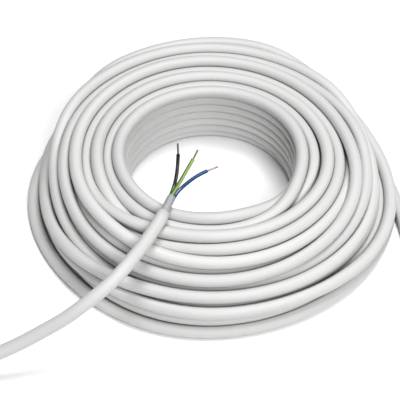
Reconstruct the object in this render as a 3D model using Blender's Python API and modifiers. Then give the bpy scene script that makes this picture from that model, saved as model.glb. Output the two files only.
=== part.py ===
# Coil of three-core electrical cable, lying flat, with its stripped free end over the bore.
# Metres, +Z up. The origin is the middle of the whole footprint, on the floor.

import math

import bmesh
import bpy
import numpy as np
from mathutils import Matrix

# Cable, from the outside in
CABLE_OD = 0.0088
BEDDING_OD = 0.0060
CORE_OD = 0.0026
CONDUCTOR_OD = 0.00138

# Coil
BORE_RADIUS = 0.0590
TURNS_ACROSS_FOOT = 8
TURNS_ACROSS_TOP = 6
TURN_ROWS = 7
ROW_PITCH = 0.00833
LEAN = 0.0125
SECTION_STEPS = 40
VALLEY_DEPTH = 0.0018
CROWN_HALF_WIDTH = 0.0022

# Where the axis of the coil's foot stands, seen from the origin
COIL_X = 0.0151
COIL_Y = 0.0572

# Clearance that touching pieces keep
GAP = 0.0003

# Points along a tube, in tube diameters, and how round its bevel is
CABLE_POINT_STEP = 2.0
CORE_POINT_STEP = 2.5
CABLE_BEVEL_STEPS = 3
CORE_BEVEL_STEPS = 2

# Worked out from the values above
CABLE_RADIUS = CABLE_OD / 2
FOOT_RADIUS = BORE_RADIUS + TURNS_ACROSS_FOOT * CABLE_OD
TOP_RADIUS = BORE_RADIUS + TURNS_ACROSS_TOP * CABLE_OD
COIL_HEIGHT = (TURN_ROWS - 1) * ROW_PITCH + CABLE_OD
FLOOR_LEVEL = CABLE_RADIUS
TOP_LEVEL = COIL_HEIGHT + GAP + CABLE_RADIUS

# Free end of the cable. Each point is an angle in degrees round the coil's axis, how far it
# lies out from where the cable would touch the coil's foot, in millimetres, and a lift that
# is 0 on the floor and 1 on top of the coil. It leaves the outer turn on the right, runs
# round the front on the floor, turns back and climbs over the coil to the bore.
FREE_END_ROUTE = [
    (30.5, 1.5, 0.0),
    (15.5, 1.5, 0.0),
    (2.5, 3.0, 0.0),
    (-10.5, 8.5, 0.0),
    (-23.5, 20.0, 0.0),
    (-35.5, 38.5, 0.0),
    (-45.5, 62.0, 0.0),
    (-54.0, 85.0, 0.0),
    (-62.0, 101.0, 0.0),
    (-71.0, 106.5, 0.0),
    (-80.5, 103.5, 0.0),
    (-92.0, 101.0, 0.0),
    (-103.0, 109.0, 0.0),
    (-112.5, 118.0, 0.0),
    (-119.0, 138.5, 0.0),
    (-125.5, 143.0, 0.0),
    (-130.5, 130.0, 0.015),
    (-133.5, 105.0, 0.09),
    (-132.5, 78.5, 0.24),
    (-130.5, 67.5, 0.335),
    (-128.0, 55.0, 0.45),
    (-125.0, 40.0, 0.605),
    (-122.0, 28.0, 0.74),
    (-121.0, 21.5, 0.81),
    (-119.0, 12.0, 0.90),
    (-117.0, 2.0, 0.97),
    (-116.0, -7.5, 1.01),
    (-115.5, -20.0, 1.01),
    (-115.0, -36.5, 1.0),
    (-115.0, -47.0, 1.0),
    (-115.0, -55.0, 1.0),
    (-115.5, -63.0, 1.0),
]

# Bedding that shows between the cut sheath and the cores: how far it runs on in x and y
# and how far it rises, in millimetres
BEDDING_RUN = [(0.0, 0.0, 0.0), (2.5, 6.6, 0.6), (5.0, 13.2, 1.3)]

# Each bared core, in millimetres from the middle of the bedding's cut end: the line that
# its insulation follows, then the tip of its bare conductor
CORES = {
    "black": {
        "insulation": [(1.5, 8.8, 1.3), (2.9, 17.0, 2.3), (3.6, 25.6, 3.2), (3.9, 35.4, 3.8)],
        "tip": (3.5, 45.3, 4.6),
        "seat_angle": 210.0,
        "colour": (0.012, 0.012, 0.013, 1.0),
    },
    "green_yellow": {
        "insulation": [(3.5, 7.1, 2.4), (7.0, 14.3, 3.3), (10.4, 21.9, 4.1), (13.9, 30.1, 4.6)],
        "tip": (17.1, 38.2, 5.6),
        "seat_angle": 90.0,
        "colour": (0.16, 0.42, 0.06, 1.0),
    },
    "blue": {
        "insulation": [(5.1, 5.7, 0.6), (9.7, 10.9, 1.2), (15.5, 16.5, 1.7), (23.4, 22.0, 2.0)],
        "tip": (30.8, 25.4, 2.6),
        "seat_angle": 330.0,
        "colour": (0.02, 0.16, 0.55, 1.0),
    },
}

SHEATH_COLOUR = (0.80, 0.80, 0.78, 1.0)
BEDDING_COLOUR = (0.62, 0.61, 0.58, 1.0)
COPPER_COLOUR = (0.72, 0.35, 0.20, 1.0)


def clear_scene():
    for item in list(bpy.data.objects):
        bpy.data.objects.remove(item, do_unlink=True)


def new_collection(name):
    group = bpy.data.collections.new(name)
    bpy.context.scene.collection.children.link(group)
    return group


def new_material(name, colour, roughness, metallic=0.0):
    material = bpy.data.materials.new(name)
    material.use_nodes = True
    shader = material.node_tree.nodes["Principled BSDF"]
    shader.inputs["Base Color"].default_value = colour
    shader.inputs["Roughness"].default_value = roughness
    shader.inputs["Metallic"].default_value = metallic
    return material


def lean_at(height):
    """How far the coil's axis stands towards the front at a height, up to the coil's top."""
    return LEAN * min(height, COIL_HEIGHT) / COIL_HEIGHT


def beside_coil(angle, out_mm, height):
    """A point at an angle round the coil's axis, out from where the cable touches the foot."""
    reach = FOOT_RADIUS + GAP + CABLE_RADIUS + out_mm / 1000
    turn = math.radians(angle)
    return np.array([COIL_X + reach * math.cos(turn),
                     COIL_Y - lean_at(height) + reach * math.sin(turn),
                     height])


# The coil: one turned solid whose turns show as ridges on its ends and its walls

def turns_that_show():
    """Section centre (radius, height) and outward directions in degrees of each turn on the
    coil's skin: down the outer wall, in along the foot, up the bore and out along the top."""
    inner = BORE_RADIUS + CABLE_RADIUS
    outer_foot = FOOT_RADIUS - CABLE_RADIUS
    outer_top = TOP_RADIUS - CABLE_RADIUS
    bottom = CABLE_RADIUS
    top = COIL_HEIGHT - CABLE_RADIUS
    rows = np.linspace(top, bottom, TURN_ROWS)
    outer_wall = np.linspace(outer_top, outer_foot, TURN_ROWS)
    foot = np.linspace(outer_foot, inner, TURNS_ACROSS_FOOT)
    crown = np.linspace(inner, outer_top, TURNS_ACROSS_TOP)
    turns = [(radius, height, [0]) for radius, height in zip(outer_wall[1:-1], rows[1:-1])]
    turns.append((outer_foot, bottom, [0, -90]))
    turns += [(radius, bottom, [-90]) for radius in foot[1:-1]]
    turns.append((inner, bottom, [-90, -180]))
    turns += [(inner, height, [-180]) for height in rows[-2:0:-1]]
    turns.append((inner, top, [-180, -270]))
    turns += [(radius, top, [-270]) for radius in crown[1:-1]]
    turns.append((outer_top, top, [-270, -360]))
    return turns


def offset(radius, height, facing, out, along):
    """A section point that lies out from a turn's centre and along its side."""
    angle = math.radians(facing)
    return (radius + out * math.cos(angle) - along * math.sin(angle),
            height + out * math.sin(angle) + along * math.cos(angle))


def coil_section():
    """The outline: a flat crown on each outward side of a turn, then the groove to the next."""
    turns = turns_that_show()
    outline = []
    for index, (radius, height, facings) in enumerate(turns):
        for facing in facings:
            outline.append(offset(radius, height, facing, CABLE_RADIUS, CROWN_HALF_WIDTH))
            outline.append(offset(radius, height, facing, CABLE_RADIUS, -CROWN_HALF_WIDTH))
        next_radius, next_height, _ = turns[(index + 1) % len(turns)]
        outline.append(offset((radius + next_radius) / 2, (height + next_height) / 2,
                              facings[-1], CABLE_RADIUS - VALLEY_DEPTH, 0.0))
    return outline


def build_coil(group, material):
    section = coil_section()
    mesh = bpy.data.meshes.new("coil_section")
    work = bmesh.new()
    corners = [work.verts.new((r, 0.0, z)) for r, z in section]
    for index, corner in enumerate(corners):
        work.edges.new((corner, corners[(index + 1) % len(corners)]))
    work.to_mesh(mesh)
    work.free()

    turned = bpy.data.objects.new("coil_turned", mesh)
    group.objects.link(turned)
    screw = turned.modifiers.new("turn", "SCREW")
    screw.axis = "Z"
    screw.angle = math.tau
    screw.steps = SECTION_STEPS
    screw.render_steps = SECTION_STEPS
    screw.use_merge_vertices = True
    screw.merge_threshold = 0.00005
    screw.use_smooth_shade = False

    # The stack of rows leans: each row stands a little nearer the front than the one below it
    bpy.context.view_layer.update()
    evaluated = turned.evaluated_get(bpy.context.evaluated_depsgraph_get())
    solid = bpy.data.meshes.new_from_object(evaluated)
    solid.name = "cable_coil"
    slope = LEAN / COIL_HEIGHT
    solid.transform(Matrix(((1, 0, 0, 0), (0, 1, -slope, 0), (0, 0, 1, 0), (0, 0, 0, 1))))
    bpy.data.objects.remove(turned, do_unlink=True)

    coil = bpy.data.objects.new("cable_coil", solid)
    coil.location = (COIL_X, COIL_Y, 0.0)
    group.objects.link(coil)
    solid.materials.clear()
    solid.materials.append(material)
    return coil


# Tubes: the free end of the cable, its bedding, its cores and their conductors

def smooth_points(points, spacing):
    """Even steps along a natural cubic spline through the points, by distance along it."""
    points = np.array(points, dtype=float)
    legs = np.linalg.norm(np.diff(points, axis=0), axis=1)
    knots = np.concatenate([[0.0], np.cumsum(legs)])
    count = len(points)
    system = np.zeros((count, count))
    target = np.zeros((count, 3))
    system[0, 0] = system[-1, -1] = 1.0
    for i in range(1, count - 1):
        system[i, i - 1] = legs[i - 1]
        system[i, i] = 2 * (legs[i - 1] + legs[i])
        system[i, i + 1] = legs[i]
        target[i] = 6 * ((points[i + 1] - points[i]) / legs[i]
                         - (points[i] - points[i - 1]) / legs[i - 1])
    bend = np.linalg.solve(system, target)
    steps = max(2, round(knots[-1] / spacing))
    where = np.linspace(0.0, knots[-1], steps + 1)
    leg = np.clip(np.searchsorted(knots, where, side="right") - 1, 0, count - 2)
    width = legs[leg][:, None]
    before = (where - knots[leg])[:, None]
    after = width - before
    return (bend[leg] * after ** 3 + bend[leg + 1] * before ** 3) / (6 * width) \
        + (points[leg] / width - bend[leg] * width / 6) * after \
        + (points[leg + 1] / width - bend[leg + 1] * width / 6) * before


def build_tube(group, name, points, diameter, material, bevel_steps):
    curve = bpy.data.curves.new(name, "CURVE")
    curve.dimensions = "3D"
    curve.bevel_depth = diameter / 2
    curve.bevel_resolution = bevel_steps
    curve.use_fill_caps = True
    line = curve.splines.new("POLY")
    line.points.add(len(points) - 1)
    for place, point in zip(line.points, points):
        place.co = (*point, 1.0)
    curve.materials.append(material)
    tube = bpy.data.objects.new(name, curve)
    group.objects.link(tube)
    return tube


def unit(vector):
    return vector / np.linalg.norm(vector)


def free_end_line():
    rise = TOP_LEVEL - FLOOR_LEVEL
    line = [beside_coil(angle, out, FLOOR_LEVEL + lift * rise)
            for angle, out, lift in FREE_END_ROUTE]
    return smooth_points(line, CABLE_POINT_STEP * CABLE_OD)


def bedding_line(sheath_points):
    heading = unit(sheath_points[-1] - sheath_points[-2])
    start = sheath_points[-1] + heading * GAP
    return smooth_points([start + np.array(step) / 1000 for step in BEDDING_RUN], BEDDING_OD)


def core_lines(bedding_points, core):
    """The insulation's line and the conductor's line. The three cores leave the cut face side
    by side, a third of a turn apart, with the clearance between them."""
    middle = bedding_points[-1]
    heading = unit(bedding_points[-1] - bedding_points[-2])
    across = unit(np.cross(heading, (0.0, 0.0, 1.0)))
    upward = np.cross(across, heading)
    seat_radius = (CORE_OD + GAP) / math.sqrt(3)
    angle = math.radians(core["seat_angle"])
    seat = middle + seat_radius * (math.cos(angle) * across + math.sin(angle) * upward)
    start = seat + heading * GAP
    squared = start + heading * CORE_OD / 2
    route = [squared] + [middle + np.array(step) / 1000 for step in core["insulation"]]
    insulation = np.vstack([start, smooth_points(route, CORE_POINT_STEP * CORE_OD)])
    tip = middle + np.array(core["tip"]) / 1000
    bare_from = insulation[-1] + unit(tip - insulation[-1]) * GAP
    return insulation, smooth_points([bare_from, (bare_from + tip) / 2, tip], CORE_OD)


def build():
    clear_scene()
    group = new_collection("electrical_cable_coil")
    sheath = new_material("grey_sheath", SHEATH_COLOUR, 0.45)
    filler = new_material("bedding_compound", BEDDING_COLOUR, 0.75)
    copper = new_material("solid_copper", COPPER_COLOUR, 0.25, 1.0)

    build_coil(group, sheath)
    cable = free_end_line()
    build_tube(group, "free_end", cable, CABLE_OD, sheath, CABLE_BEVEL_STEPS)
    bedding = bedding_line(cable)
    build_tube(group, "bedding", bedding, BEDDING_OD, filler, CORE_BEVEL_STEPS)
    for name, core in CORES.items():
        insulation, conductor = core_lines(bedding, core)
        plastic = new_material("core_" + name, core["colour"], 0.35)
        build_tube(group, "core_" + name, insulation, CORE_OD, plastic, CORE_BEVEL_STEPS)
        build_tube(group, "conductor_" + name, conductor, CONDUCTOR_OD, copper, CORE_BEVEL_STEPS)


build()
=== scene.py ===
# %% [markdown]
# # A coil of electrical cable
# The object is one long cable. It is wound into a ring, layer on layer, and its last metre
# leaves the ring, runs round the front and comes back over the top, where the sheath is cut
# away and three insulated cores with bare copper tips fan out over the bore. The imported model
# gives the frame: every piece made here lies where its solid lies.

# %% The frame
import math

import bpy
import numpy as np
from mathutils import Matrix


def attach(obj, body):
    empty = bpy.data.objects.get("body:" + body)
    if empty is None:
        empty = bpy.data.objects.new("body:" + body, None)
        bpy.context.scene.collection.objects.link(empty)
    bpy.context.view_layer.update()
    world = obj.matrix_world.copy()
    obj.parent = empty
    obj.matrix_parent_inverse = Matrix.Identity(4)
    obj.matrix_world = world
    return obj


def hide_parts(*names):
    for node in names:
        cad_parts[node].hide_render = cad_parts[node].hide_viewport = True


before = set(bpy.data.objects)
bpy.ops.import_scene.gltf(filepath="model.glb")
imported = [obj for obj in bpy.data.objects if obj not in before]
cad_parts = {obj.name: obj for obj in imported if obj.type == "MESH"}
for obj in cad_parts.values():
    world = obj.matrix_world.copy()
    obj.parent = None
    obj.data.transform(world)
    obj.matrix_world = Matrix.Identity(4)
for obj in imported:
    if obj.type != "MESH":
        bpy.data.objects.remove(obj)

scene = bpy.context.scene
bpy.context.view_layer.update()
print("solids:", sorted(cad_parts))

# %% [markdown]
# ## Camera
# The photograph looks down on the coil at about 47 degrees through a long lens, so the far
# side of the ring is hardly smaller than the near side. A camera could be aimed by hand, but
# a place in metres and one angle say it exactly. It stands 0.86 m from the ring's middle.

# %% Camera
CAMERA_PLACE = (0.00825, -0.5467, 0.6396)
LOOK_DOWN = 46.9
LENS_MM = 108.0

camera_data = bpy.data.cameras.new("studio_camera")
camera_data.lens = LENS_MM
camera_data.sensor_width = 36.0
camera = bpy.data.objects.new("studio_camera", camera_data)
camera.location = CAMERA_PLACE
camera.rotation_euler = (math.radians(90.0 - LOOK_DOWN), 0.0, 0.0)
scene.collection.objects.link(camera)
scene.camera = camera
print("camera looks down", LOOK_DOWN, "degrees")

# %% [markdown]
# ## The cable's own sizes
# A light installation cable has three cores of 1.5 square millimetres, twisted together,
# pressed into a soft bedding and covered by a round PVC sheath. These numbers are the ones
# that the solids were built from, in millimetres. The coil is measured from the axis of its
# foot, and its rows lean a little towards the viewer as they rise.

# %% Sizes
CABLE_OD = 8.8
BEDDING_OD = 6.0
CORE_OD = 2.6
CONDUCTOR_OD = 1.38
CABLE_R = CABLE_OD / 2

FOOT_AXIS = np.array([15.1, 57.2, 0.0])
BORE_R = 59.0
FOOT_TURNS = 8
FOOT_R = BORE_R + FOOT_TURNS * CABLE_OD
COIL_HEIGHT = 58.78
LEAN = 12.5
GAP = 0.3
TOP_ROW = COIL_HEIGHT - CABLE_R
FREE_TOP = COIL_HEIGHT + GAP + CABLE_R


def lean_at(height):
    """How far the ring's axis stands towards the viewer: LEAN times height over full height."""
    return LEAN * np.clip(height, 0.0, COIL_HEIGHT) / COIL_HEIGHT


def ease(x):
    """A smooth step from 0 to 1: three x squared less two x cubed, flat at both ends."""
    x = np.clip(x, 0.0, 1.0)
    return x * x * (3.0 - 2.0 * x)


def hill(azimuth, centre, reach):
    """A rounded bump round the ring: 1 at its centre azimuth and 0 beyond its reach."""
    away = np.abs((azimuth - centre + 180.0) % 360.0 - 180.0)
    return ease(1.0 - away / reach)


print("solid ring:", 2 * BORE_R, "mm bore,", round(2 * FOOT_R, 1), "mm across the foot")

# %% [markdown]
# ## Winding the ring
# A coiling machine lays one turn beside the next up the bore wall, steps outward, and lays
# the next layer back down. Each layer is a column of turns when the ring is cut across. The
# whole winding could be drawn by hand, but a loop over the columns that says in which order
# the slots are filled is enough: the cable stays in its slot for most of a turn and slides
# over to the next slot in a crossing zone at the front of the ring.

# %% Slots of the winding
# Turns in each column, from the bore outwards. Then for each column the azimuth at which the
# cable crosses to its next slot, and how wide that crossing is, in degrees.
COLUMN_TURNS = (7, 6, 6, 6, 6, 5, 4, 3, 1)
CROSSING_AT = (-62.0, -50.0, -128.0, -122.0, -38.0, -48.0, -132.0, -120.0, -90.0)
CROSSING_WIDE = (70.0, 80.0, 90.0, 90.0, 90.0, 95.0, 110.0, 110.0, 60.0)
# Points worked out on each turn.
STATIONS = 96
START_AZIMUTH = -80.0
LEAVE_AZIMUTH = 30.5

slots = []
for column, count in enumerate(COLUMN_TURNS):
    rows = range(count) if column % 2 == 0 else reversed(range(count))
    slots += [(column, row, count) for row in rows]
slot_column, slot_row, slot_count = np.array(slots).T
print("slots:", len(slots))

# %% [markdown]
# The ring is not a plain drum. Its foot is wide and nearly round, and its top is a smaller
# circle that stands further back than the bore, so the outer wall is steep behind and slopes
# like a heap at the front and the sides. An outline could be drawn for each direction, but two
# circles and three soft bulges give the same heap, and the slots follow them.

# %% Outline of the ring
SHOULDER_R = 104.0
SHOULDER_BACK = 17.5
FOOT_LINE = 121.5
FOOT_RIGHT = 4.0
# Each bulge: how far it stands out, the azimuth of its middle, and its reach in degrees.
FOOT_BULGES = {
    "right": (7.0, -18.0, 65.0),
    "back": (5.0, 90.0, 90.0),
    "left": (4.5, 163.0, 40.0),
}


def shoulder(azimuth):
    """Radius of the top's outer turn: a circle seen from a point that lies in front of its
    middle, so the offset's share along the azimuth plus the root of what is left."""
    turn = np.radians(azimuth)
    return SHOULDER_BACK * np.sin(turn) \
        + np.sqrt(SHOULDER_R ** 2 - (SHOULDER_BACK * np.cos(turn)) ** 2)


def foot_line(azimuth):
    """Radius of the foot's outer turn: a circle shifted to the right, and the bulges."""
    radius = FOOT_LINE + FOOT_RIGHT * np.cos(np.radians(azimuth))
    for height, middle, reach in FOOT_BULGES.values():
        radius = radius + height * hill(azimuth, middle, reach)
    return radius


for side, azimuth in (("right", 0.0), ("back", 90.0), ("left", 180.0), ("front", -90.0)):
    print(side, "foot line", round(float(foot_line(azimuth)), 1), "mm, shoulder",
          round(float(shoulder(azimuth)), 1), "mm")

# %% Place of a slot
# How far up a nested column starts, the least width of the slope, and how closely the upper
# turns stay together, where 1 would spread them evenly. Then the crown's height and place.
NEST = 3.6
SLOPE_LEAST = 5.0
GATHERED = 0.35
CROWN_BACK = 1.6
CROWN_AT = 90.0
CROWN_REACH = 120.0
CROWN_FROM_COLUMN = 5


def slot_place(slot, azimuth):
    """Radius and height of a slot. Columns share the width between bore and foot line. Every
    second column nests nearly half a row up. A column ends at the slope from shoulder to foot,
    and where it has room to spare its upper turns stay together below that slope. Behind, the
    outer columns stand a little proud."""
    column, row, count = slot_column[slot], slot_row[slot], slot_count[slot]
    inner, outer = BORE_R + CABLE_R, foot_line(azimuth)
    top_edge = np.minimum(shoulder(azimuth), outer - SLOPE_LEAST)
    radius = inner + (outer - inner) * column / (len(COLUMN_TURNS) - 1)
    down = np.clip((radius - top_edge) / (outer - top_edge), 0.0, 1.0)
    nest = np.where(column % 2 == 1, NEST, 0.0)
    low = CABLE_R + nest
    proud = CROWN_BACK * hill(azimuth, CROWN_AT, CROWN_REACH) * (column >= CROWN_FROM_COLUMN)
    high = np.maximum(TOP_ROW + proud - (TOP_ROW - CABLE_R) * down - nest, low)
    last = np.maximum(count - 1, 1)
    spare_room = np.maximum(high - low - last * CABLE_OD, 0.0)
    level = row / last * (count > 1)
    return np.stack([radius, low + level * (high - low - spare_room)
                     + spare_room * level ** GATHERED], axis=-1)


# %% Where the cable should lie, station by station
turning = len(slots) - ((LEAVE_AZIMUTH - START_AZIMUTH) % 360.0) / 360.0
station_count = int(turning * STATIONS)
station_turn = np.arange(station_count) / STATIONS
station_azimuth = START_AZIMUTH - 360.0 * station_turn
now = np.minimum(station_turn.astype(int), len(slots) - 1)
after = np.minimum(now + 1, len(slots) - 1)
middle = ((START_AZIMUTH - np.array(CROSSING_AT)[slot_column[now]]) % 360.0) / 360.0
wide = np.array(CROSSING_WIDE)[slot_column[now]] / 360.0
share = ease((station_turn - now - middle) / wide + 0.5)[:, None]
wanted = (1.0 - share) * slot_place(now, station_azimuth) \
    + share * slot_place(after, station_azimuth)
print("stations:", station_count, "turns:", round(turning, 2))

# %% [markdown]
# ## Letting the turns press on each other
# Slots alone would look machined. Real turns wander a little, push their neighbours aside and
# ride over each other at the crossings. Blender's rigid bodies can't bend a cable, so the
# turns are relaxed here in numpy. Each station lies in one of 96 upright planes through the
# axis, where the turns are discs: discs that overlap push each other apart, the pushes are
# spread along the cable because it is stiff, and everything is drawn gently to its slot. A
# soft sheath gives a little, so two discs may come as near as 98 per cent of their width.

# %% Helpers along the cable


def smooth_along(values, reach):
    """A running average along the cable, weighted by a bell curve that many stations wide."""
    offsets = np.arange(-int(3 * reach), int(3 * reach) + 1)
    weights = np.exp(-0.5 * (offsets / reach) ** 2)
    weights /= weights.sum()
    padded = np.pad(values, ((len(offsets) // 2,) * 2, (0, 0)), mode="edge")
    return np.stack([np.convolve(side, weights, mode="valid") for side in padded.T], axis=-1)


def wander(count, every, size):
    """Seeded random values at even steps along the cable, joined by an eased line."""
    knots = random.normal(size=count // every + 3) * size
    where = np.arange(count) / every
    low = where.astype(int)
    return knots[low] + (knots[low + 1] - knots[low]) * ease(where - low)


def from_axis(radius, height, azimuth):
    """Distance from the foot's axis to a turn at that radius about the leaning axis: the
    positive root for a circle whose middle has moved by the lean."""
    lean = lean_at(height)
    turn = np.radians(azimuth)
    return -lean * np.sin(turn) + np.sqrt(radius ** 2 - (lean * np.cos(turn)) ** 2)


# %% Wandering turns and the leaving turn
# The wander in radius and height, and how many stations one swing of it takes. Outer columns
# are looser. The last share of a turn goes down to the floor, where the cable leaves.
WANDER_R = 1.4
WANDER_Z = 0.9
WANDER_EVERY = 34
LOOSE_INSIDE = 0.4
LOOSER_OUTWARDS = 0.15
LEAVE_OUT = 1.5
LEAVE_SHARE = 0.24
DRAWN_IN = 4.5

random = np.random.default_rng(11)
looseness = LOOSE_INSIDE + LOOSER_OUTWARDS * slot_column[now]
wanted[:, 0] += looseness * wander(station_count, WANDER_EVERY, WANDER_R)
wanted[:, 1] += looseness * wander(station_count, WANDER_EVERY, WANDER_Z)
leaving = ease((station_turn - turning + LEAVE_SHARE) / LEAVE_SHARE)
leave_radius = FOOT_R + GAP + CABLE_R + LEAVE_OUT - DRAWN_IN
wanted[:, 0] += leaving * (leave_radius - wanted[:, 0])
wanted[:, 1] += leaving * (CABLE_R - wanted[:, 1])
wanted[:, 0] = from_axis(wanted[:, 0], wanted[:, 1], station_azimuth)
print("the cable leaves the ring", round(leave_radius, 1), "mm from its axis")

# %% Turns that push each other apart
SQUEEZE = 0.98
FAR_OFF = 1e4
FAR_APART = 1e3

ring_count = -(-station_count // STATIONS)
spare = ring_count * STATIONS - station_count
same_turn = np.eye(ring_count, dtype=bool)[:, :, None]


def pushes(place):
    """For each disc, half of each overlap away from the neighbour, summed over its plane, and
    the deepest overlap. Discs set far off fill up the last turn, which isn't a whole one."""
    far = np.stack([np.full(spare, FAR_OFF), np.arange(spare) * FAR_APART], axis=-1)
    discs = np.concatenate([place, far]).reshape(ring_count, STATIONS, 2)
    apart = discs[:, None] - discs[None]
    distance = np.sqrt((apart ** 2).sum(axis=-1)) + 1e-9
    overlap = np.where(same_turn, 0.0, np.maximum(CABLE_OD * SQUEEZE - distance, 0.0))
    push = (apart * (0.5 * overlap / distance)[..., None]).sum(axis=1)
    return push.reshape(-1, 2)[:station_count], overlap.max(axis=1).reshape(-1)[:station_count]


print("pushed apart where closer than", round(CABLE_OD * SQUEEZE, 2), "mm")

# %% Relaxing
# In each round a push is made a little larger than it needs to be, and the hold draws every
# turn back to its slot, more firmly in the first rounds than in the last.
ROUNDS = 400
STIFF_REACH = 4.0
PUSH_GAIN = 1.5
FIRST_HOLD = 0.03
LAST_HOLD = 0.002
LAST_REACH = 2.0
HEAP_ROOM = 2.6
FREE_END_AT = -115.5
FREE_END_REACH = 26.0

# Turns may ride up over the top row, but not where the free end lies on them.
under_free_end = hill(station_azimuth, FREE_END_AT, FREE_END_REACH)
ceiling = TOP_ROW + HEAP_ROOM * (1.0 - under_free_end)
place = wanted.copy()
for step in range(ROUNDS):
    push, _ = pushes(place)
    hold = FIRST_HOLD * (1.0 - step / ROUNDS) + LAST_HOLD
    place += smooth_along(PUSH_GAIN * push, STIFF_REACH) + hold * (wanted - place)
    place[:, 1] = np.clip(place[:, 1], CABLE_R, ceiling)
    bore = from_axis(BORE_R + CABLE_R, place[:, 1], station_azimuth)
    place[:, 0] = np.maximum(place[:, 0], bore)
place = smooth_along(place, LAST_REACH)
place[:, 1] = np.maximum(place[:, 1], CABLE_R)
_, overlap = pushes(place)
print("deepest overlap:", round(float(overlap.max()), 2), "mm, mean",
      round(float(overlap.mean()), 3))

# %% [markdown]
# ## The free end
# From the outer turn the cable runs on along the route that the solid follows: over the floor
# round the front, back in a loop, and up over the ring. The route is a few points and a
# natural cubic spline, because a stiff cable bends in even curves.

# %% Free end's route
# Each point: its azimuth, how far out from the foot it lies, and its lift.
FREE_END_ROUTE = [
    (30.5, 1.5, 0.0),
    (15.5, 1.5, 0.0),
    (2.5, 3.0, 0.0),
    (-10.5, 8.5, 0.0),
    (-23.5, 20.0, 0.0),
    (-35.5, 38.5, 0.0),
    (-45.5, 62.0, 0.0),
    (-54.0, 85.0, 0.0),
    (-62.0, 101.0, 0.0),
    (-71.0, 106.5, 0.0),
    (-80.5, 103.5, 0.0),
    (-92.0, 101.0, 0.0),
    (-103.0, 109.0, 0.0),
    (-112.5, 118.0, 0.0),
    (-119.0, 138.5, 0.0),
    (-125.5, 143.0, 0.0),
    (-130.5, 130.0, 0.015),
    (-133.5, 105.0, 0.09),
    (-132.5, 78.5, 0.24),
    (-130.5, 67.5, 0.335),
    (-128.0, 55.0, 0.45),
    (-125.0, 40.0, 0.605),
    (-122.0, 28.0, 0.74),
    (-121.0, 21.5, 0.81),
    (-119.0, 12.0, 0.90),
    (-117.0, 2.0, 0.97),
    (-116.0, -7.5, 1.01),
    (-115.5, -20.0, 1.01),
    (-115.0, -36.5, 1.0),
    (-115.0, -47.0, 1.0),
    (-115.0, -55.0, 1.0),
    (-115.5, -63.0, 1.0),
]


def smooth_points(points, spacing):
    """Even steps along a natural cubic spline: between two points a cubic whose bend runs in
    a straight line from one point's to the next, and is zero at both ends."""
    points = np.array(points, dtype=float)
    legs = np.linalg.norm(np.diff(points, axis=0), axis=1)
    knots = np.concatenate([[0.0], np.cumsum(legs)])
    count = len(points)
    system = np.eye(count)
    inner = np.arange(1, count - 1)
    system[inner, inner - 1] = legs[:-1]
    system[inner, inner] = 2.0 * (legs[:-1] + legs[1:])
    system[inner, inner + 1] = legs[1:]
    slopes = np.diff(points, axis=0) / legs[:, None]
    target = np.zeros((count, 3))
    target[1:-1] = 6.0 * np.diff(slopes, axis=0)
    bend = np.linalg.solve(system, target)
    steps = max(2, round(knots[-1] / spacing))
    where = np.linspace(0.0, knots[-1], steps + 1)
    leg = np.clip(np.searchsorted(knots, where, side="right") - 1, 0, count - 2)
    width = legs[leg][:, None]
    before = (where - knots[leg])[:, None]
    left = width - before
    return (bend[leg] * left ** 3 + bend[leg + 1] * before ** 3) / (6.0 * width) \
        + (points[leg] / width - bend[leg] * width / 6.0) * left \
        + (points[leg + 1] / width - bend[leg + 1] * width / 6.0) * before


def beside_coil(azimuth, out, lift):
    """A point on the route: at an azimuth round the leaning axis, out from where the cable
    touches the foot, lifted by a share of the way from the floor to the coil's top."""
    height = CABLE_R + lift * (FREE_TOP - CABLE_R)
    reach = FOOT_R + GAP + CABLE_R + out
    turn = np.radians(azimuth)
    return FOOT_AXIS + np.array([reach * np.cos(turn),
                                 reach * np.sin(turn) - lean_at(height), height])


for name, point in (("leaves", FREE_END_ROUTE[0]), ("ends", FREE_END_ROUTE[-1])):
    print("the free end", name, "at", beside_coil(*point).round(1))

# %% Line of the free end
# The curve is softened but for its last steps, which lead to the cut, and its first steps are
# drawn in towards the ring as its last turn is.
FREE_STEP = 6.2
END_STEPS = 12.0
END_REACH = 1.5
DRAWN_UNTIL = 26.0
DRAWN_FADE = 20.0

route = np.array([beside_coil(*point) for point in FREE_END_ROUTE])
free_line = smooth_points(route, FREE_STEP)
from_start = np.arange(len(free_line))
to_end = from_start[::-1, None]
free_line += ease(to_end / END_STEPS) * (smooth_along(free_line, END_REACH) - free_line)
free_line[:, 0] -= DRAWN_IN * ease((DRAWN_UNTIL - from_start) / DRAWN_FADE)
print("free end:", len(free_line), "points")

# %% One line for the whole cable
# Where the last turn meets the free end, the line is softened for some steps to both sides.
JOINT_STEPS = 24.0
JOINT_REACH = 5.0

turn = np.radians(station_azimuth)
coil_line = FOOT_AXIS + np.stack([place[:, 0] * np.cos(turn), place[:, 0] * np.sin(turn),
                                  place[:, 1]], axis=-1)
print("coil ends at", coil_line[-1].round(1), "free end starts at", free_line[0].round(1))
line = np.concatenate([coil_line, free_line[1:]])
from_joint = np.abs(np.arange(len(line)) - len(coil_line))[:, None]
blend = ease(1.0 - from_joint / JOINT_STEPS)
line = line + blend * (smooth_along(line, JOINT_REACH) - line)
length_mm = float(np.linalg.norm(np.diff(line, axis=0), axis=1).sum())
print("cable length:", round(length_mm / 1000.0, 3), "m")

# %% [markdown]
# ## A tube round a line
# A curve object with a bevel would make the tube too, but the sheath's marks must run along
# twenty-five metres of cable, so the tube is worked out ring by ring and each vertex keeps the
# place it would have if the cable were pulled straight.

# %% Tube maker


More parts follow.
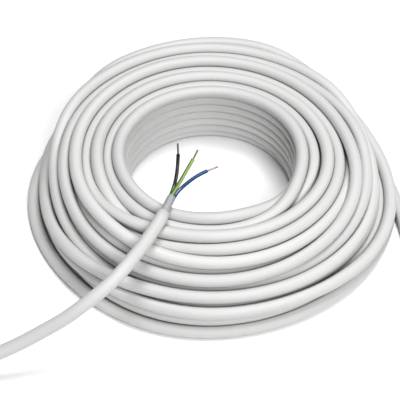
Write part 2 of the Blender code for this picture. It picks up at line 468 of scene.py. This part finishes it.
def frames_along(points):
    """Unit vectors at each point: along the line, sideways and level, and upward."""
    along = np.gradient(points, axis=0)
    along /= np.linalg.norm(along, axis=1)[:, None]
    sideways = np.cross(along, (0.0, 0.0, 1.0))
    sideways /= np.linalg.norm(sideways, axis=1)[:, None]
    return along, sideways, np.cross(sideways, along)


def cut_square(radius, bevel):
    """A plain cut end, from the wall to the closing face, as depths below the cut and radii."""
    return ((bevel, radius), (0.0, radius - bevel))


def cut_hollow(radius, bevel, hole, deep):
    """A cut end with a hole in its face, in which the next layer of the cable is seated."""
    return ((bevel, radius), (0.0, radius - bevel), (0.0, hole), (deep, hole))


def tube_mesh(name, points, radius, sides, first_cut, last_cut, tear=0.0, swell=None):
    """A closed tube: ring i has its middle at point i, and vertex j of it lies at the angle
    j / sides of a turn, a radius away. The cuts add the rings of each end, and tear moves the
    edge of a cut along by a sum of sines with 3, 8 and 13 waves round it. Swell is added to
    the radius, from the angle and the distance along the tube."""
    along, sideways, upward = frames_along(points)
    last = len(points) - 1
    which = np.array([0] * len(first_cut) + list(range(1, last)) + [last] * len(last_cut))
    wall = [(0.0, radius)] * (last - 1)
    cuts = [(depth, wide) for depth, wide in reversed(first_cut)] + wall \
        + [(-depth, wide) for depth, wide in last_cut]
    shift, wide = np.array(cuts).T
    at_edge = np.ones(len(cuts))
    at_edge[len(first_cut):len(first_cut) + len(wall)] = 0.0
    at_edge[shift != 0.0] = 0.0

    angle = np.arange(sides) / sides * math.tau
    waves = np.sin(3.0 * angle + 1.0) + 0.6 * np.sin(8.0 * angle) + 0.4 * np.sin(13.0 * angle)
    shift = shift[:, None] + tear * at_edge[:, None] * waves
    legs = np.linalg.norm(np.diff(points, axis=0), axis=1)
    distance = np.concatenate([[0.0], np.cumsum(legs)])[which, None] + shift
    wide = np.broadcast_to(wide[:, None], shift.shape)
    if swell is not None:
        wide = wide + swell(angle, distance)
    ring = np.cos(angle)[None, :, None] * sideways[which, None] \
        + np.sin(angle)[None, :, None] * upward[which, None]
    skin = points[which, None] + ring * wide[..., None] + along[which, None] * shift[..., None]
    straight = np.stack([wide * np.cos(angle), wide * np.sin(angle), distance], axis=-1)

    rows = np.arange(len(which) - 1)[:, None] * sides
    side = np.arange(sides)[None, :]
    beside = (side + 1) % sides
    quads = np.stack([rows + side, rows + beside, rows + sides + beside, rows + sides + side],
                     axis=-1).reshape(-1, 4)
    count = len(which) * sides
    ends = [list(range(sides))[::-1], list(range(count - sides, count))]
    mesh = bpy.data.meshes.new(name)
    mesh.from_pydata(skin.reshape(-1, 3) / 1000.0, [], quads.tolist() + ends)
    marks = mesh.attributes.new("straight", "FLOAT_VECTOR", "POINT")
    marks.data.foreach_set("vector", (straight.reshape(-1, 3) / 1000.0).ravel())
    smooth = np.zeros(len(mesh.polygons), dtype=bool)
    smooth[sides * (len(first_cut) - 1):len(quads) - sides * (len(last_cut) - 1)] = True
    mesh.polygons.foreach_set("use_smooth", smooth)
    mesh.update()
    return mesh


# %% From a mesh to a piece


def add_piece(name, mesh, finish, slot_name, *stands_for):
    """Links a mesh as a piece that rides with the ring and stands for its solids."""
    piece = bpy.data.objects.new(name, mesh)
    scene.collection.objects.link(piece)
    mesh.materials.append(finish)
    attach(piece, "root")
    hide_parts(*stands_for)
    print(name, "has", sum(len(face.vertices) - 2 for face in mesh.polygons), "triangles")
    return piece


# %% [markdown]
# ## Finishes
# Every finish is a small node tree. One function adds a node, and one turns the hex colours
# that a designer would note down into the linear values that Blender mixes.

# %% Node helpers


def linear(hex_colour):
    """sRGB to linear: each channel over 12.92 when dark, else a power of 2.4."""
    channels = [int(hex_colour[i:i + 2], 16) / 255.0 for i in (1, 3, 5)]
    return tuple(c / 12.92 if c <= 0.04045 else ((c + 0.055) / 1.055) ** 2.4
                 for c in channels) + (1.0,)


def add_node(tree, kind, settings=None, values=None, links=None):
    """Adds a node, sets its properties and socket values, and links outputs to its inputs."""
    node = tree.nodes.new(kind)
    for key, value in (settings or {}).items():
        setattr(node, key, value)
    for key, value in (values or {}).items():
        node.inputs[key].default_value = value
    for key, output in (links or {}).items():
        tree.links.new(output, node.inputs[key])
    return node


def per_metre(millimetres):
    """A pattern's scale, on coordinates in metres, from the real size of one of its marks."""
    return 1000.0 / millimetres


def new_finish(name):
    """A new material and its node tree, with the shader that comes with it."""
    finish = bpy.data.materials.new(name)
    finish.use_nodes = True
    tree = finish.node_tree
    return finish, tree, tree.nodes["Principled BSDF"]


print("the hex grey #808080 is", round(linear("#808080")[0], 3), "in linear light")

# %% [markdown]
# ### Sheath: light grey PVC, extruded
# PVC that has been drawn through a die is smooth and half matt, with faint streaks along its
# length and a slow change of tone. Shade is painted into the grooves where turns touch: the tone
# falls off where little of the sky is open within six millimetres, and the turns read apart.
# One flat grey would do from afar. Noise on the straightened cable gives the streaks, which are
# drawn 1.1 mm wide, coarser than real ones, so that they show.

# %% Sheath finish
STREAK_WIDE = 1.111
STREAK_LONG = 45.45
STREAK_SHARE = 0.35
TONE_LONG = 476.0
# Painted shade: the reach, in millimetres, within which nearby turns darken the sheath's colour.
GROOVE_SHADE_REACH = 6.0

sheath_finish, tree, shader = new_finish("extruded_pvc_sheath")
straight = add_node(tree, "ShaderNodeAttribute", {"attribute_name": "straight"})
streak_scale = (per_metre(STREAK_WIDE), per_metre(STREAK_WIDE), per_metre(STREAK_LONG))
streak_place = add_node(tree, "ShaderNodeMapping", values={"Scale": streak_scale},
                        links={"Vector": straight.outputs["Vector"]})
streaks = add_node(tree, "ShaderNodeTexNoise", values={"Scale": 1.0, "Detail": 3.0},
                   links={"Vector": streak_place.outputs["Vector"]})
batch_place = add_node(tree, "ShaderNodeMapping",
                       values={"Scale": (0.0, 0.0, per_metre(TONE_LONG))},
                       links={"Vector": straight.outputs["Vector"]})
batch = add_node(tree, "ShaderNodeTexNoise", values={"Scale": 1.0, "Detail": 1.0},
                 links={"Vector": batch_place.outputs["Vector"]})
tone = add_node(tree, "ShaderNodeMath", {"operation": "MULTIPLY_ADD"},
                {1: STREAK_SHARE}, {0: streaks.outputs["Fac"], 2: batch.outputs["Fac"]})
colour = add_node(tree, "ShaderNodeValToRGB", links={"Fac": tone.outputs["Value"]})
colour.color_ramp.elements[0].position = 0.4
colour.color_ramp.elements[0].color = linear("#B3B4B3")
colour.color_ramp.elements[1].position = 0.95
colour.color_ramp.elements[1].color = linear("#C9C9C8")
# Painted shade: where the occlusion finds turns close by, the base colour is mixed towards
# #6C6B68.
groove = add_node(tree, "ShaderNodeAmbientOcclusion", {"samples": 8},
                  {"Distance": GROOVE_SHADE_REACH / 1000.0})
open_share = add_node(tree, "ShaderNodeMapRange", values={"From Min": 0.05, "From Max": 0.55},
                      links={"Value": groove.outputs["AO"]})
painted_groove_shade = add_node(tree, "ShaderNodeMix", {"data_type": "RGBA"}, {6: linear("#6C6B68")},
                 {0: open_share.outputs["Result"], 7: colour.outputs["Color"]})
gloss = add_node(tree, "ShaderNodeMapRange",
                 values={"From Min": 0.3, "From Max": 0.7, "To Min": 0.5, "To Max": 0.62},
                 links={"Value": streaks.outputs["Fac"]})
relief = add_node(tree, "ShaderNodeBump", values={"Strength": 0.35, "Distance": 0.00006},
                  links={"Height": streaks.outputs["Fac"]})
tree.links.new(painted_groove_shade.outputs[2], shader.inputs["Base Color"])
tree.links.new(gloss.outputs["Result"], shader.inputs["Roughness"])
tree.links.new(relief.outputs["Normal"], shader.inputs["Normal"])
shader.inputs["IOR"].default_value = 1.53
print("sheath finish:", len(tree.nodes), "nodes")

# %% Cable
SHEATH_SIDES = 16
SHEATH_BEVEL = 0.15
SHEATH_TEAR = 0.09
SEAT_PLAY = 0.04
SEAT_DEEP = 1.4

bedding_hole = BEDDING_OD / 2 + SEAT_PLAY
cable_mesh = tube_mesh("cable", line, CABLE_R, SHEATH_SIDES, cut_square(CABLE_R, SHEATH_BEVEL),
                       cut_hollow(CABLE_R, SHEATH_BEVEL, bedding_hole, SEAT_DEEP),
                       tear=SHEATH_TEAR)
cable = add_piece("cable", cable_mesh, sheath_finish, "sheath", "cable_coil", "free_end")

# %% [markdown]
# ## The stripped end
# The sheath is cut round with a knife and pulled off, so its edge is a little uneven and the
# bedding stands in it like a candle in its holder. The bedding is soft filler pressed round the
# twisted cores. It keeps three shallow swellings that turn once in each lay of the cores, which
# is what makes a real one look twisted though it is round.

# %% Line of the bedding
BEDDING_RUN = [(0.0, 0.0, 0.0), (2.5, 6.6, 0.6), (5.0, 13.2, 1.3)]
BEDDING_STEP = 0.6
LAY_OF_CORES = 62.0
SWELLING = 0.1

sheath_end = line[-1]


def unit(vector):
    """The vector divided by its own length."""
    return vector / np.linalg.norm(vector)


def three_swellings(angle, distance):
    """The cosine of three times the angle, less one, times SWELLING, so never above the
    round. The angle turns once in each lay of the cores."""
    return SWELLING * (np.cos(3.0 * (angle - math.tau * distance / LAY_OF_CORES)) - 1.0)


sheath_heading = unit(line[-1] - line[-4])
seat = [sheath_end - sheath_heading]
steps = [sheath_end + sheath_heading * GAP + np.array(step) for step in BEDDING_RUN]
bedding_line = smooth_points(seat + steps, BEDDING_STEP)
print("bedding shows for", round(float(np.linalg.norm(steps[-1] - steps[0])), 1), "mm")

# %% [markdown]
# ### Bedding: chalk-filled compound, extruded
# The filler is soft and full of chalk, so it is a paler or darker grey from grain to grain, and
# the sheath's die leaves slanting marks on it that catch the light. They could be cut into the
# mesh, but a wave on the straightened bedding is enough at this size. The marks are drawn
# 1.1 mm apart, coarser than real ones, so that they show.

# %% Bedding's finish
GRAIN_SIZE = 0.385
MARK_SPACING = 1.122
MARK_SHARE = 0.7
# A diagonal wave repeats each time its coordinate grows by a tenth of tau.
WAVE_REPEAT = math.tau / 10.0

filler_finish, tree, shader = new_finish("extruded_chalk_filler")
straight = add_node(tree, "ShaderNodeAttribute", {"attribute_name": "straight"})
grain = add_node(tree, "ShaderNodeTexNoise",
                 values={"Scale": per_metre(GRAIN_SIZE), "Detail": 4.0},
                 links={"Vector": straight.outputs["Vector"]})
die_marks = add_node(tree, "ShaderNodeTexWave",
                     {"wave_type": "BANDS", "bands_direction": "DIAGONAL"},
                     {"Scale": WAVE_REPEAT * per_metre(MARK_SPACING), "Distortion": 0.8,
                      "Detail": 2.0, "Detail Scale": 3.0},
                     {"Vector": straight.outputs["Vector"]})
chalk = add_node(tree, "ShaderNodeMath", {"operation": "MULTIPLY_ADD"},
                 {1: MARK_SHARE}, {0: die_marks.outputs["Fac"], 2: grain.outputs["Fac"]})
colour = add_node(tree, "ShaderNodeValToRGB", links={"Fac": chalk.outputs["Value"]})
colour.color_ramp.elements[0].position = 0.5
colour.color_ramp.elements[0].color = linear("#5C5C5F")
colour.color_ramp.elements[1].position = 1.0
colour.color_ramp.elements[1].color = linear("#B2B2B4")
relief = add_node(tree, "ShaderNodeBump", values={"Strength": 0.5, "Distance": 0.0001},
                  links={"Height": chalk.outputs["Value"]})
tree.links.new(colour.outputs["Color"], shader.inputs["Base Color"])
tree.links.new(relief.outputs["Normal"], shader.inputs["Normal"])
shader.inputs["Roughness"].default_value = 0.4
print("bedding finish:", len(tree.nodes), "nodes")

# %% Bedding
BEDDING_SIDES = 36
SEATED_BEVEL = 0.1
CUT_BEVEL = 0.25

bedding_mesh = tube_mesh("bedding_filler", bedding_line, BEDDING_OD / 2, BEDDING_SIDES,
                         cut_square(BEDDING_OD / 2, SEATED_BEVEL),
                         cut_square(BEDDING_OD / 2, CUT_BEVEL), swell=three_swellings)
bedding = add_piece("bedding_filler", bedding_mesh, filler_finish, "bedding", "bedding")

# %% [markdown]
# ## The three cores
# Each core is solid copper wire with a skin of coloured PVC, glossy from the die. The colours
# are the standard ones: black and blue for the live and the neutral, green with yellow for the
# earth. The two colours of the earth core are extruded side by side and turn slowly along it.
# Once the bedding is gone the cores spring apart, and a fitter spreads them a little more.

# %% Lines of the cores
CORES = {
    "black": {
        "insulation": [(1.5, 8.8, 1.3), (2.9, 17.0, 2.3), (3.6, 25.6, 3.2), (3.9, 35.4, 3.8)],
        "tip": (3.5, 45.3, 4.6),
        "seat_angle": 210.0,
    },
    "green_yellow": {
        "insulation": [(3.5, 7.1, 2.4), (7.0, 14.3, 3.3), (10.4, 21.9, 4.1), (13.9, 30.1, 4.6)],
        "tip": (17.1, 38.2, 5.6),
        "seat_angle": 90.0,
    },
    "blue": {
        "insulation": [(5.1, 5.7, 0.6), (9.7, 10.9, 1.2), (15.5, 16.5, 1.7), (23.4, 22.0, 2.0)],
        "tip": (30.8, 25.4, 2.6),
        "seat_angle": 330.0,
    },
}
CORE_STEP = 1.0
WIRE_STEP = 0.5
WIRE_SEAT = 0.6
SEAT_CLEAR = 0.02

bedding_end = bedding_line[-1]
bedding_heading = unit(bedding_line[-1] - bedding_line[-6])
across = unit(np.cross(bedding_heading, (0.0, 0.0, 1.0)))
upward = np.cross(across, bedding_heading)


def core_lines(core):
    """The lines of a core's insulation and of its wire. The three cores leave the bedding a
    third of a turn apart, each at the distance where three touching circles have theirs."""
    reach = (CORE_OD + GAP) / math.sqrt(3.0)
    turn = math.radians(core["seat_angle"])
    seat = bedding_end + reach * (math.cos(turn) * across + math.sin(turn) * upward)
    start = seat + bedding_heading * SEAT_CLEAR
    squared = start + bedding_heading * CORE_OD / 2
    steps = [start, squared] + [bedding_end + np.array(step) for step in core["insulation"]]
    insulation = smooth_points(steps, CORE_STEP)
    tip = bedding_end + np.array(core["tip"])
    heading = unit(tip - insulation[-1])
    wire_start = insulation[-1] - WIRE_SEAT * unit(insulation[-1] - insulation[-2])
    bare_from = insulation[-1] + heading * GAP
    return insulation, smooth_points([wire_start, bare_from, (bare_from + tip) / 2, tip],
                                     WIRE_STEP)


lines = {name: core_lines(core) for name, core in CORES.items()}
for name, (insulation, wire) in lines.items():
    print(name, "core ends at", insulation[-1].round(1), "wire at", wire[-1].round(1))

# %% [markdown]
# ### Insulation: coloured PVC, extruded
# Thin PVC fresh from the die is glossy, and fine lines along it break its highlight up a
# little. They are drawn a third of a millimetre wide, coarser than real ones, so that they
# show. One function makes all three finishes, because the skins differ in colour alone. The
# earth core's stripe could be a second mesh, but here it is a mask round the core.

# %% Insulation finish
DIE_LINE_WIDE = 0.333
DIE_LINE_LONG = 16.7
STRIPE_LAY = 500.0
STRIPE_BLUR = 0.05


def striped(tree, straight, hex_colour, hex_stripe, stripe_share):
    """Two colours side by side. The stripe lies where the cosine of the angle, less its slow
    turn along the core, stands above the cosine of the stripe's share of half a turn."""
    parts = add_node(tree, "ShaderNodeSeparateXYZ", links={"Vector": straight.outputs["Vector"]})
    angle = add_node(tree, "ShaderNodeMath", {"operation": "ARCTAN2"},
                     links={0: parts.outputs["Y"], 1: parts.outputs["X"]})
    turned = add_node(tree, "ShaderNodeMath", {"operation": "MULTIPLY_ADD"},
                      {1: -math.tau * per_metre(STRIPE_LAY)},
                      {0: parts.outputs["Z"], 2: angle.outputs["Value"]})
    height = add_node(tree, "ShaderNodeMath", {"operation": "COSINE"},
                      links={0: turned.outputs["Value"]})
    limit = math.cos(math.pi * stripe_share)
    edge = add_node(tree, "ShaderNodeMapRange",
                    values={"From Min": limit - STRIPE_BLUR, "From Max": limit + STRIPE_BLUR},
                    links={"Value": height.outputs["Value"]})
    mix = add_node(tree, "ShaderNodeMix", {"data_type": "RGBA"},
                   {6: linear(hex_colour), 7: linear(hex_stripe)}, {0: edge.outputs["Result"]})
    return mix.outputs[2]


def core_finish(name, hex_colour, hex_stripe=None, stripe_share=0.0):
    """Glossy PVC with faint die lines, in one colour or with a stripe of another."""
    finish, tree, shader = new_finish(name)
    straight = add_node(tree, "ShaderNodeAttribute", {"attribute_name": "straight"})
    line_scale = (per_metre(DIE_LINE_WIDE), per_metre(DIE_LINE_WIDE), per_metre(DIE_LINE_LONG))
    line_place = add_node(tree, "ShaderNodeMapping", values={"Scale": line_scale},
                          links={"Vector": straight.outputs["Vector"]})
    die_lines = add_node(tree, "ShaderNodeTexNoise", values={"Scale": 1.0, "Detail": 2.0},
                         links={"Vector": line_place.outputs["Vector"]})
    gloss = add_node(tree, "ShaderNodeMapRange",
                     values={"From Min": 0.3, "From Max": 0.7, "To Min": 0.2, "To Max": 0.3},
                     links={"Value": die_lines.outputs["Fac"]})
    relief = add_node(tree, "ShaderNodeBump", values={"Strength": 0.15, "Distance": 0.00003},
                      links={"Height": die_lines.outputs["Fac"]})
    tree.links.new(gloss.outputs["Result"], shader.inputs["Roughness"])
    tree.links.new(relief.outputs["Normal"], shader.inputs["Normal"])
    shader.inputs["Base Color"].default_value = linear(hex_colour)
    shader.inputs["IOR"].default_value = 1.54
    shader.inputs["Coat Weight"].default_value = 0.4
    shader.inputs["Coat Roughness"].default_value = 0.15
    if hex_stripe is not None:
        colours = striped(tree, straight, hex_colour, hex_stripe, stripe_share)
        tree.links.new(colours, shader.inputs["Base Color"])
    return finish


core_finishes = {
    "black": core_finish("glossy_pvc_black", "#111113"),
    "green_yellow": core_finish("glossy_pvc_green_yellow", "#2F6420", "#8C9C50", 0.4),
    "blue": core_finish("glossy_pvc_blue", "#083F6C"),
}
print("insulation finishes:", list(core_finishes))

# %% [markdown]
# ### Wire: drawn copper
# A die has drawn the wire, so fine lines run along it and stretch its highlight. Copper that
# has lain in its insulation and been handled dulls to a greyish brown, which is why its colour
# is far from the red of new copper. A plain metal would look cast. The lines are drawn 0.2 mm
# wide, coarser than real ones, so that they show.

# %% Wire finish
DRAW_LINE_WIDE = 0.2
DRAW_LINE_LONG = 11.1

copper_finish, tree, shader = new_finish("drawn_copper")
straight = add_node(tree, "ShaderNodeAttribute", {"attribute_name": "straight"})
draw_scale = (per_metre(DRAW_LINE_WIDE), per_metre(DRAW_LINE_WIDE), per_metre(DRAW_LINE_LONG))
draw_place = add_node(tree, "ShaderNodeMapping", values={"Scale": draw_scale},
                      links={"Vector": straight.outputs["Vector"]})
draw_lines = add_node(tree, "ShaderNodeTexNoise", values={"Scale": 1.0, "Detail": 3.0},
                      links={"Vector": draw_place.outputs["Vector"]})
gloss = add_node(tree, "ShaderNodeMapRange",
                 values={"From Min": 0.3, "From Max": 0.7, "To Min": 0.3, "To Max": 0.46},
                 links={"Value": draw_lines.outputs["Fac"]})
relief = add_node(tree, "ShaderNodeBump", values={"Strength": 0.3, "Distance": 0.00002},
                  links={"Height": draw_lines.outputs["Fac"]})
tree.links.new(gloss.outputs["Result"], shader.inputs["Roughness"])
tree.links.new(relief.outputs["Normal"], shader.inputs["Normal"])
shader.inputs["Base Color"].default_value = linear("#9A8A80")
shader.inputs["Metallic"].default_value = 1.0
print("wire finish:", len(tree.nodes), "nodes")

# %% Cores and their wires
CORE_SIDES = 28
CORE_BEVEL = 0.05
CORE_CUT_BEVEL = 0.06
CORE_TEAR = 0.03
WIRE_SIDES = 20
WIRE_BEVEL = 0.05
WIRE_CUT_BEVEL = 0.16
WIRE_PLAY = 0.03
HOLE_BEYOND_WIRE = 0.1

wire_hole = CONDUCTOR_OD / 2 + WIRE_PLAY
for name, (insulation, wire) in lines.items():
    mesh = tube_mesh("insulation_" + name, insulation, CORE_OD / 2, CORE_SIDES,
                     cut_square(CORE_OD / 2, CORE_BEVEL),
                     cut_hollow(CORE_OD / 2, CORE_CUT_BEVEL, wire_hole,
                                WIRE_SEAT + HOLE_BEYOND_WIRE), tear=CORE_TEAR)
    add_piece("insulation_" + name, mesh, core_finishes[name],
                                     "core_" + name, "core_" + name)
    mesh = tube_mesh("wire_" + name, wire, CONDUCTOR_OD / 2, WIRE_SIDES,
                     cut_square(CONDUCTOR_OD / 2, WIRE_BEVEL),
                     cut_square(CONDUCTOR_OD / 2, WIRE_CUT_BEVEL))
    add_piece("wire_" + name, mesh, copper_finish,
                                     "copper", "conductor_" + name)

# %% [markdown]
# ## Floor and light
# A plain pale floor and soft boxes, as in a packshot. Matt paper scatters the light, so the
# floor shows no highlight. The key stands in front and to the right, the top light fills the
# turns' upper sides, and two small lamps at the right and behind give the glossy cores their
# bright line.

# %% Floor
FLOOR_HALF = 4.0

floor_finish, tree, shader = new_finish("matt_paper_floor")
shader.inputs["Base Color"].default_value = linear("#F7F7F7")
shader.inputs["Roughness"].default_value = 0.9
floor_mesh = bpy.data.meshes.new("floor")
floor_mesh.from_pydata([(-FLOOR_HALF, -FLOOR_HALF, 0.0), (FLOOR_HALF, -FLOOR_HALF, 0.0),
                        (FLOOR_HALF, FLOOR_HALF, 0.0), (-FLOOR_HALF, FLOOR_HALF, 0.0)],
                       [], [(0, 1, 2, 3)])
floor_mesh.materials.append(floor_finish)
floor = bpy.data.objects.new("floor", floor_mesh)
scene.collection.objects.link(floor)
print("floor:", 2 * FLOOR_HALF, "m square")

# %% Lights
LIT_PLACE = np.array([0.015, 0.05, 0.03])


def soft_box(name, place, size, watts):
    """A square area light that faces the middle of the coil."""
    data = bpy.data.lights.new(name, "AREA")
    data.size = size
    data.energy = watts
    lamp = bpy.data.objects.new(name, data)
    lamp.location = place
    aim = LIT_PLACE - np.array(place)
    lamp.rotation_euler = (math.atan2(math.hypot(aim[0], aim[1]), -aim[2]), 0.0,
                           math.atan2(aim[1], aim[0]) - math.pi / 2)
    scene.collection.objects.link(lamp)
    print(name, "light:", watts, "W from", round(float(np.linalg.norm(aim)), 2), "m")


soft_box("key", (0.42, -1.05, 1.2), 0.6, 19.0)
soft_box("top", (0.12, 0.1, 1.7), 0.6, 21.0)
soft_box("side", (0.9, -0.32, 1.18), 0.12, 1.6)
soft_box("rim", (0.72, 0.8, 1.2), 0.2, 2.5)

# %% Sky and tone
SKY_STRENGTH = 0.14

world = bpy.data.worlds.new("studio")
scene.world = world
world.use_nodes = True
world.node_tree.nodes["Background"].inputs["Color"].default_value = linear("#FFFFFF")
world.node_tree.nodes["Background"].inputs["Strength"].default_value = SKY_STRENGTH
scene.view_settings.view_transform = "Standard"
print("sky strength:", SKY_STRENGTH)
